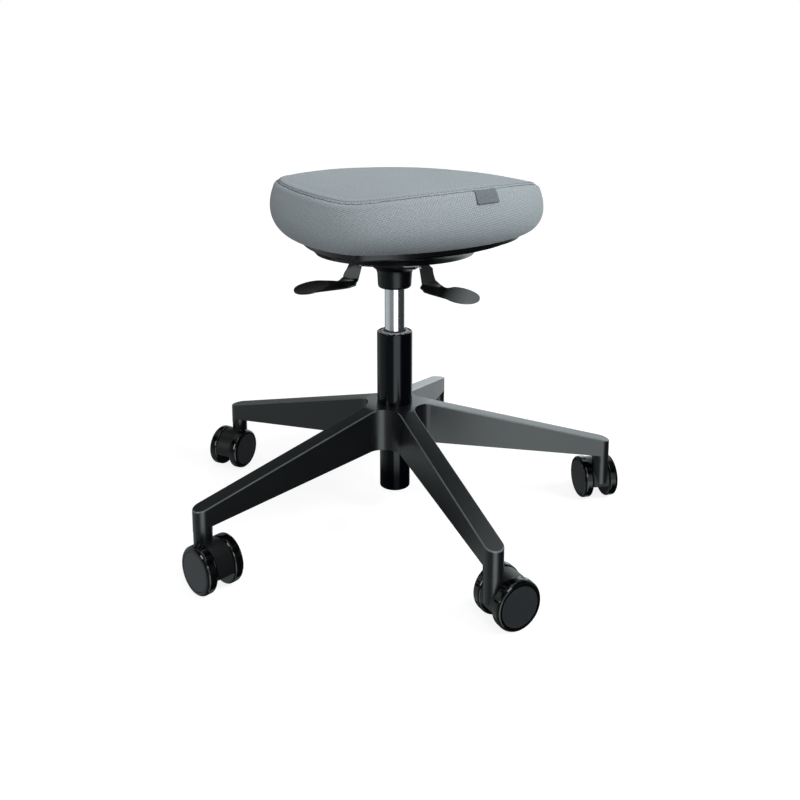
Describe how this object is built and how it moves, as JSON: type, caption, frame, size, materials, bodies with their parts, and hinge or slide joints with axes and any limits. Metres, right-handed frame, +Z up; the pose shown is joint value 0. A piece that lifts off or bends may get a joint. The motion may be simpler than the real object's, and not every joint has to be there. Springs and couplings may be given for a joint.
{
  "type": "rolling stool",
  "caption": "Rolling stool: a padded rounded-triangle seat on a gas-lift column with a slim star base, twin-wheel casters and two paddle levers.",
  "frame": {"origin": "on the floor, on the column's axis", "axes": "+Z up along the column; -Y towards the nose of the seat, which is the front; +X towards the tilt lever and the tag"},
  "size_m": [0.6309, 0.6254, 0.491],
  "materials": {
    "base_alloy": "satin charcoal powder coat on die-cast aluminium",
    "column_steel": "gloss black paint on steel tube",
    "bush_plastic": "light grey acetal",
    "bearing_steel": "hardened steel",
    "chrome_steel": "satin chrome on steel",
    "mechanism_steel": "satin black paint on steel",
    "buffer_rubber": "black rubber",
    "lever_steel": "satin black paint on sheet steel",
    "pan_plastic": "satin black moulded plastic",
    "board_wood": "raw plywood",
    "foam": "moulded polyurethane foam",
    "cover_fabric": "grey-blue-green fine twill",
    "tag_fabric": "dark woven tag, blank",
    "screw_steel": "blackened steel",
    "caster_plastic": "gloss black nylon",
    "cap_plastic": "matte dark grey nylon"
  },
  "bodies": {
    "base": {"base_star": "base_alloy", "column_tube": "column_steel", "guide_bush": "bush_plastic", "thrust_bearing": "bearing_steel"},
    "rod": {"piston_rod": "bearing_steel", "retaining_clip": "bearing_steel"},
    "cylinder": {"gas_cylinder": "chrome_steel", "mechanism_base": "mechanism_steel", "tilt_bushes": "buffer_rubber", "tilt_buffers": "buffer_rubber"},
    "valve": {"valve_pin": "bearing_steel"},
    "lift_handle": {"lift_lever": "lever_steel", "lift_shaft": "bearing_steel"},
    "tilt_handle": {"tilt_lever": "lever_steel", "release_shaft": "bearing_steel"},
    "seat": {"tilt_frame": "mechanism_steel", "tilt_shaft": "bearing_steel", "brake_plate": "bearing_steel", "seat_pan": "pan_plastic", "seat_board": "board_wood", "seat_foam": "foam", "seat_cover": "cover_fabric", "label_tag": "tag_fabric", "frame_screws": "screw_steel", "pan_screws": "screw_steel"},
    "caster_1_fork": {"caster_1_housing": "caster_plastic", "caster_1_stem": "bearing_steel", "caster_1_axle": "bearing_steel"},
    "caster_1_left": {"caster_1_wheel_left": "caster_plastic", "caster_1_cap_left": "cap_plastic"},
    "caster_1_right": {"caster_1_wheel_right": "caster_plastic", "caster_1_cap_right": "cap_plastic"},
    "caster_2_fork": {"caster_2_housing": "caster_plastic", "caster_2_stem": "bearing_steel", "caster_2_axle": "bearing_steel"},
    "caster_2_left": {"caster_2_wheel_left": "caster_plastic", "caster_2_cap_left": "cap_plastic"},
    "caster_2_right": {"caster_2_wheel_right": "caster_plastic", "caster_2_cap_right": "cap_plastic"},
    "caster_3_fork": {"caster_3_housing": "caster_plastic", "caster_3_stem": "bearing_steel", "caster_3_axle": "bearing_steel"},
    "caster_3_left": {"caster_3_wheel_left": "caster_plastic", "caster_3_cap_left": "cap_plastic"},
    "caster_3_right": {"caster_3_wheel_right": "caster_plastic", "caster_3_cap_right": "cap_plastic"},
    "caster_4_fork": {"caster_4_housing": "caster_plastic", "caster_4_stem": "bearing_steel", "caster_4_axle": "bearing_steel"},
    "caster_4_left": {"caster_4_wheel_left": "caster_plastic", "caster_4_cap_left": "cap_plastic"},
    "caster_4_right": {"caster_4_wheel_right": "caster_plastic", "caster_4_cap_right": "cap_plastic"},
    "caster_5_fork": {"caster_5_housing": "caster_plastic", "caster_5_stem": "bearing_steel", "caster_5_axle": "bearing_steel"},
    "caster_5_left": {"caster_5_wheel_left": "caster_plastic", "caster_5_cap_left": "cap_plastic"},
    "caster_5_right": {"caster_5_wheel_right": "caster_plastic", "caster_5_cap_right": "cap_plastic"}
  },
  "joints": [
    {"name": "caster_1_swivel", "type": "hinge", "parent": "base", "child": "caster_1_fork", "pos_m": [0.1921, -0.23303, 0.066], "axis": [0, 0, 1], "continuous": true},
    {"name": "caster_1_roll_left", "type": "hinge", "parent": "caster_1_fork", "child": "caster_1_left", "pos_m": [0.20517, -0.21925, 0.03], "axis": [-0.7254, 0.6884, 0], "continuous": true},
    {"name": "caster_1_roll_right", "type": "hinge", "parent": "caster_1_fork", "child": "caster_1_right", "pos_m": [0.20517, -0.21925, 0.03], "axis": [-0.7254, 0.6884, 0], "continuous": true},
    {"name": "caster_2_swivel", "type": "hinge", "parent": "base", "child": "caster_2_fork", "pos_m": [0.28099, 0.11068, 0.066], "axis": [0, 0, 1], "continuous": true},
    {"name": "caster_2_roll_left", "type": "hinge", "parent": "caster_2_fork", "child": "caster_2_left", "pos_m": [0.27192, 0.12738, 0.03], "axis": [-0.8788, -0.4772, 0], "continuous": true},
    {"name": "caster_2_roll_right", "type": "hinge", "parent": "caster_2_fork", "child": "caster_2_right", "pos_m": [0.27192, 0.12738, 0.03], "axis": [-0.8788, -0.4772, 0], "continuous": true},
    {"name": "caster_3_swivel", "type": "hinge", "parent": "base", "child": "caster_3_fork", "pos_m": [-0.01844, 0.30144, 0.066], "axis": [0, 0, 1], "continuous": true},
    {"name": "caster_3_roll_left", "type": "hinge", "parent": "caster_3_fork", "child": "caster_3_left", "pos_m": [-0.03712, 0.29797, 0.03], "axis": [0.1822, -0.9833, 0], "continuous": true},
    {"name": "caster_3_roll_right", "type": "hinge", "parent": "caster_3_fork", "child": "caster_3_right", "pos_m": [-0.03712, 0.29797, 0.03], "axis": [0.1822, -0.9833, 0], "continuous": true},
    {"name": "caster_4_swivel", "type": "hinge", "parent": "base", "child": "caster_4_fork", "pos_m": [-0.29238, 0.07561, 0.066], "axis": [0, 0, 1], "continuous": true},
    {"name": "caster_4_roll_left", "type": "hinge", "parent": "caster_4_fork", "child": "caster_4_left", "pos_m": [-0.29486, 0.05678, 0.03], "axis": [0.9914, -0.1305, 0], "continuous": true},
    {"name": "caster_4_roll_right", "type": "hinge", "parent": "caster_4_fork", "child": "caster_4_right", "pos_m": [-0.29486, 0.05678, 0.03], "axis": [0.9914, -0.1305, 0], "continuous": true},
    {"name": "caster_5_swivel", "type": "hinge", "parent": "base", "child": "caster_5_fork", "pos_m": [-0.16226, -0.2547, 0.066], "axis": [0, 0, 1], "continuous": true},
    {"name": "caster_5_roll_left", "type": "hinge", "parent": "caster_5_fork", "child": "caster_5_left", "pos_m": [-0.14512, -0.26288, 0.03], "axis": [0.4305, 0.9026, 0], "continuous": true},
    {"name": "caster_5_roll_right", "type": "hinge", "parent": "caster_5_fork", "child": "caster_5_right", "pos_m": [-0.14512, -0.26288, 0.03], "axis": [0.4305, 0.9026, 0], "continuous": true},
    {"name": "seat_swivel", "type": "hinge", "parent": "base", "child": "rod", "pos_m": [0, 0, 0.05], "axis": [0, 0, 1], "continuous": true},
    {"name": "seat_lift", "type": "slide", "parent": "rod", "child": "cylinder", "axis": [0, 0, 1], "range_m": [-0.05, 0.08]},
    {"name": "seat_tilt", "type": "hinge", "parent": "cylinder", "child": "seat", "pos_m": [0, 0.016, 0.372], "axis": [1, 0, 0], "range_deg": [-4, 6]},
    {"name": "lift_lever_pull", "type": "hinge", "parent": "cylinder", "child": "lift_handle", "pos_m": [-0.025, 0, 0.369], "axis": [0, 1, 0], "range_deg": [0, 6], "stiffness_Nm_per_rad": 2, "springref_deg": -5.73},
    {"name": "valve_push", "type": "slide", "parent": "cylinder", "child": "valve", "axis": [0, 0, 1], "range_m": [-0.003, 0]},
    {"name": "tilt_lever_pull", "type": "hinge", "parent": "cylinder", "child": "tilt_handle", "pos_m": [0.03, 0, 0.369], "axis": [0, -1, 0], "range_deg": [0, 6], "stiffness_Nm_per_rad": 2, "springref_deg": -5.73}
  ],
  "couplings": [
    {"joint": "valve_push", "follows": "lift_lever_pull", "m_per_rad": -0.0281}
  ]
}
